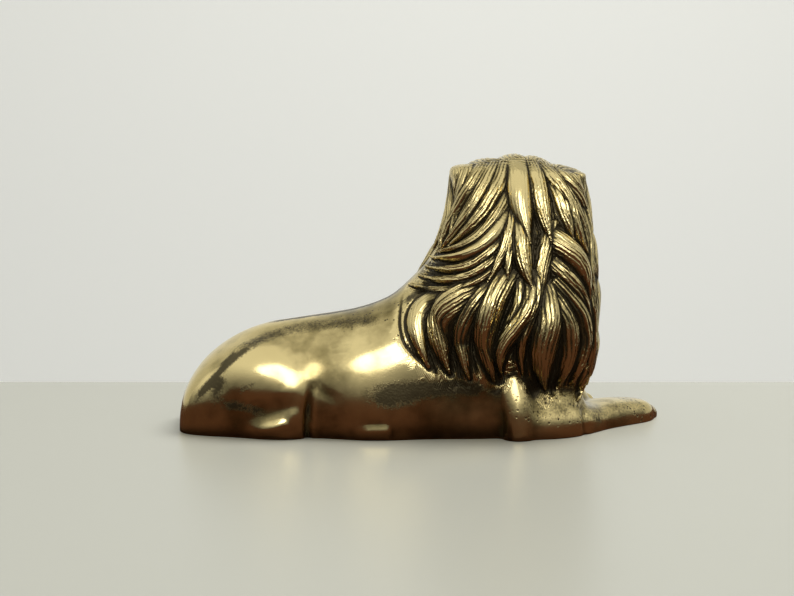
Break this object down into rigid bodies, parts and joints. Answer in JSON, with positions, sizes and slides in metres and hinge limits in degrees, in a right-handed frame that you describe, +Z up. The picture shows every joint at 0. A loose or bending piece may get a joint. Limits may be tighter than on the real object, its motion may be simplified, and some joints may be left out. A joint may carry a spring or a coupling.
{
  "type": "lion figurine",
  "caption": "Cast brass lion lying down with its head turned aside, a flowing mane and one long forepaw, standing flat on its underside.",
  "frame": {"origin": "middle of the figure's outline, seen from above, on the surface it stands on", "axes": "+X along the body towards the chest and forepaws, +Y towards the side its face looks to, +Z up"},
  "size_m": [0.1946, 0.0866, 0.109],
  "materials": {
    "brass": "polished on the high parts, dark patina in the hollows, pitted here and there"
  },
  "bodies": {
    "root": {"lion": "brass"}
  },
  "joints": []
}
